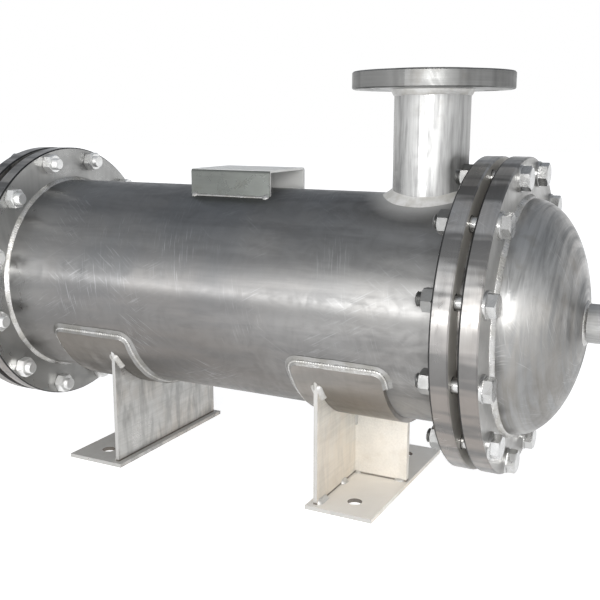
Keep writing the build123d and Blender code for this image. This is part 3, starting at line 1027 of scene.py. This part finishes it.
def pad_run(side):
    """Frames of the weld round a wear pad. The right pad's outer edge is welded at its corners only."""
    frames = pad_frames(side)
    if side < 0:
        return frames, True
    outer = max(corner.x for corner, _, _ in frames)
    reach = PAD_WRAP / 2 - PAD_CORNER_WELD / SHELL_RADIUS
    kept = []
    for frame_here in frames:
        corner = frame_here[0]
        angle = abs(math.atan2(corner.y, AXIS_Z - corner.z))
        kept.append(corner.x < outer - PAD_CORNER / 4 or angle > reach)
    first = next(i for i, keep in enumerate(kept) if keep and not kept[i - 1])
    order = frames[first:] + frames[:first]
    return [frame_here for frame_here, keep in zip(order, kept[first:] + kept[:first]) if keep], False


def round_welds(materials):
    """Fillets on the circular seams of the shell, heads and head nozzles."""
    for side, label in ((1, "right"), (-1, "left")):
        shell_end = SHELL_MIDDLE + side * SHELL_HALF
        face = SHELL_MIDDLE + side * HEAD_FLANGE_OUTER
        apex = SHELL_MIDDLE + side * (HEAD_APEX - HEAD_PIPE_DIP)
        collar = SHELL_MIDDLE + side * HEAD_PIPE_FLANGE
        seams = Shape()
        run = hoop_frames(shell_end, SHELL_RADIUS, -side)
        seams.add(*fillet_form(run, SHELL_LEGS, True, 1 + side, 1.9))
        seams.finish(label + "_shell_weld", materials["weld"], "shell_steel", WELD_SHARP)
        seams = Shape()
        run = hoop_frames(face, SHELL_RADIUS, side)
        seams.add(*fillet_form(run, HEAD_LEGS, True, 5 + side, 1.7))
        run = hoop_frames(apex, HEAD_PIPE_RADIUS, side)
        seams.add(*fillet_form(run, APEX_LEGS, True, 8 + side))
        run = hoop_frames(collar, HEAD_PIPE_RADIUS, -side)
        seams.add(*fillet_form(run, COLLAR_LEGS, True, 12 + side))
        seams.finish(label + "_head_welds", materials["weld"], "head_steel", WELD_SHARP)


def nozzle_places():
    """From a nozzle made along local +Z about the shell axis to its real place."""
    top = Matrix.Translation((TOP_NOZZLE_X, 0, AXIS_Z))
    rear = Matrix.Translation((REAR_NOZZLE_X, 0, AXIS_Z)) @ Matrix.Rotation(-math.pi / 2, 4, "X")
    return {"top": top, "rear": rear}


def nozzle_welds(materials):
    """A broad ground fillet at the foot of each shell nozzle, and a small one under its flange."""
    for label, place in nozzle_places().items():
        weld = Shape()
        weld.add(*fillet_form(nozzle_frames(place, foot_frame), NOZZLE_FOOT_LEGS, True, 20, 2.2, 0.0, 8))
        weld.finish(label + "_nozzle_foot_weld", materials["foot_weld"], "nozzle_steel", WELD_SHARP)
        weld = Shape()
        weld.add(*fillet_form(nozzle_frames(place, neck_frame), NOZZLE_NECK_LEGS, True, 21, 1.8))
        weld.finish(label + "_nozzle_neck_weld", materials["foot_weld"], "nozzle_steel", WELD_SHARP)


def saddle_welds(materials):
    """Fillets round the pads, and stitches along the saddles' plates."""
    for side, label in ((1, "right"), (-1, "left")):
        run, closed = pad_run(side)
        base = Shape()
        base.add(*fillet_form(run, PAD_LEGS, closed, 30, 2.2, 0.0))
        base.finish(label + "_pad_weld", materials["ground_weld"], "saddle_plate", WELD_SHARP)
        weld = Shape()
        weld.add(*bead_form(run, PAD_LEGS, PAD_BEAD, closed, 31))
        weld.finish(label + "_pad_bead", materials["weld"], "saddle_plate", WELD_SHARP)
        stitches = Shape()
        web_top_welds(side, stitches)
        foot_stitches(side, stitches)
        stitches.finish(label + "_saddle_welds", materials["stitch"], "saddle_plate", WELD_SHARP)


def web_top_welds(side, weld):
    """Runs between a web and its pad, at both ends of the web and in the middle."""
    radius = AXIS_Z - pad_low.z
    reach = math.asin((web_high.y - web_low.y) / 2 / radius)
    half = 0.5 * WEB_END_RUN / radius
    for x, away in ((side * web_low.x, -side), (side * web_high.x, side)):
        for middle in (half - reach, 0.0, reach - half):
            frames = hoop_frames(x, radius, away, math.pi / 2 + middle - half, 2 * half)
            weld.add(*fillet_form(frames, WEB_LEGS, False, 33 + middle))
    for end in (1, -1):
        corner_y = end * web_high.y
        corner_z = AXIS_Z - math.sqrt(radius**2 - corner_y**2)
        angle = math.atan2(corner_y, AXIS_Z - corner_z)
        around = Vector((0.0, math.cos(angle), math.sin(angle))) * end
        run = ((side * web_low.x, corner_y, corner_z), (side * web_high.x, corner_y, corner_z))
        weld.add(*fillet_form(straight_frames(*run, (0, 0, -1), around), WEB_CORNER_LEGS, False, 35))


def foot_stitches(side, weld):
    """Short runs along the feet of a web and its rib."""
    foot = base_high.z
    for y_from, y_to in WEB_STITCHES:
        for sign in (1, -1):
            ends = ((side * web_high.x, sign * y_from, foot), (side * web_high.x, sign * y_to, foot))
            weld.add(*fillet_form(straight_frames(*ends, (side, 0, 0), (0, 0, 1)), WEB_LEGS, False, 36))
    for y in (rib_low.y, rib_high.y):
        away = math.copysign(1.0, y)
        for x_from, x_to in RIB_STITCHES:
            ends = ((side * (rib_low.x + x_from), y, foot), (side * (rib_low.x + x_to), y, foot))
            weld.add(*fillet_form(straight_frames(*ends, (0, away, 0), (0, 0, 1)), RIB_LEGS, False, 40))
        ends = [(side * rib_low.x, y, pad_low.z - drop) for drop in RIB_TOP_STITCH]
        weld.add(*fillet_form(straight_frames(*ends, (0, away, 0), (side, 0, 0)), RIB_LEGS, False, 41))


def bracket_tacks(materials):
    """Tack welds at the corners of the nameplate bracket's legs."""
    weld = Shape()
    for y in (bracket_low.y, bracket_high.y):
        away = math.copysign(1.0, y)
        height = AXIS_Z + math.sqrt(SHELL_RADIUS**2 - y**2)
        slope = Vector((0.0, away, -abs(y) / (height - AXIS_Z))).normalized()
        ends = ((bracket_low.x + BRACKET_INSET, y, height), (bracket_high.x - BRACKET_INSET, y, height))
        weld.add(*fillet_form(straight_frames(*ends, (0, 0, 1), slope), BRACKET_LEGS, False, 49))
        for x, sign in ((bracket_low.x, 1), (bracket_high.x, -1)):
            ends = [(x + sign * reach, y, height) for reach in (BRACKET_INSET, BRACKET_TACK)]
            weld.add(*fillet_form(straight_frames(*ends, (0, 0, 1), slope), TACK_LEGS, False, 50 + sign))
    weld.finish("bracket_tacks", materials["weld"], "bracket_steel", WELD_SHARP)


def add_camera():
    camera = new_object("camera", bpy.data.cameras.new("camera"))
    camera.data.sensor_width = SENSOR_WIDTH
    camera.data.lens = CAMERA_LENS
    camera.data.clip_end = CAMERA_REACH
    turn = CAMERA_BACK.to_track_quat("Z", "Y").to_matrix().to_4x4()
    camera.matrix_world = Matrix.Translation(CAMERA_PLACE) @ turn @ Matrix.Rotation(CAMERA_ROLL, 4, "Z")
    bpy.context.scene.camera = camera


def seen_directly(graph):
    """1 for what the camera sees, directly or by a mirror or glass."""
    path = graph.add("ShaderNodeLightPath").outputs
    mirrored = graph.math("MAXIMUM", path["Is Glossy Ray"], path["Is Transmission Ray"])
    return graph.math("MAXIMUM", path["Is Camera Ray"], mirrored)


def add_floor():
    """Pale floor, white to the camera except where the exchanger shades it."""
    corners = [(-FLOOR_HALF, -FLOOR_HALF, 0), (FLOOR_HALF, -FLOOR_HALF, 0),
               (FLOOR_HALF, FLOOR_HALF, 0), (-FLOOR_HALF, FLOOR_HALF, 0)]
    mesh = bpy.data.meshes.new("floor")
    mesh.from_pydata(corners, [], [(0, 1, 2, 3)])
    floor = new_object("floor", mesh)
    floor.location.z = -FLOOR_GAP
    material = bpy.data.materials.new("floor")
    graph = Graph(material)
    diffuse = graph.add("ShaderNodeBsdfDiffuse", Color=FLOOR_TONE)
    glow = graph.add("ShaderNodeEmission", Strength=graph.times(seen_directly(graph), FLOOR_LIFT))
    both = graph.add("ShaderNodeAddShader")
    graph.feed(both.inputs[0], diffuse.outputs[0])
    graph.feed(both.inputs[1], glow.outputs[0])
    graph.surface(both.outputs[0])
    mesh.materials.append(material)


def add_world():
    """Studio that is white at eye level, pale high up in front and darker overhead and behind.
    The camera sees it white all round."""
    world = bpy.data.worlds.new("studio")
    bpy.context.scene.world = world
    graph = Graph(world)
    direction = graph.add("ShaderNodeTexCoord").outputs["Generated"]
    parts = graph.parts(direction)
    behind = graph.mix(graph.ramp(parts["Z"], *RISE_BEHIND), WHITE, CEILING)
    glow = graph.mix(graph.ramp(parts["X"], *GLOW_SIDE), FRONT_GLOW, WHITE)
    ahead = graph.mix(graph.ramp(parts["Z"], *TOP_AHEAD), glow, CEILING)
    ahead = graph.mix(graph.ramp(parts["Z"], *RISE_AHEAD), WHITE, ahead)
    colour = graph.mix(graph.ramp(parts["Y"], *FRONT_TO_BACK), ahead, behind)
    shown = graph.mix(graph.add("ShaderNodeLightPath").outputs["Is Camera Ray"], colour, WHITE)
    background = graph.add("ShaderNodeBackground", Color=shown)
    output = graph.add("ShaderNodeOutputWorld")
    graph.feed(output.inputs["Surface"], background.outputs[0])


def add_area(name, place, target, size, power):
    light = bpy.data.lights.new(name, "AREA")
    light.shape = "RECTANGLE"
    light.size, light.size_y = size
    light.energy = power
    lamp = new_object(name, light)
    away = Vector(place) - Vector(target)
    lamp.matrix_world = Matrix.Translation(place) @ away.to_track_quat("Z", "Y").to_matrix().to_4x4()


def add_lights():
    """A soft lamp by the camera, and a strip parallel to the shell, a little lower."""
    add_area("front", FRONT_LAMP_PLACE, (0.0, 0.0, AXIS_Z), FRONT_LAMP_SIZE, FRONT_LAMP_POWER)
    add_area("strip", STRIP_PLACE, (STRIP_PLACE.x, 0.0, AXIS_Z), STRIP_SIZE, STRIP_POWER)


def set_view():
    bpy.context.scene.view_settings.view_transform = "Standard"


materials = make_materials()
finish_nodes(materials)
for end in (1, -1):
    girth_bolts(end, materials)
round_welds(materials)
nozzle_welds(materials)
saddle_welds(materials)
bracket_tacks(materials)
add_floor()
add_world()
add_lights()
add_camera()
set_view()
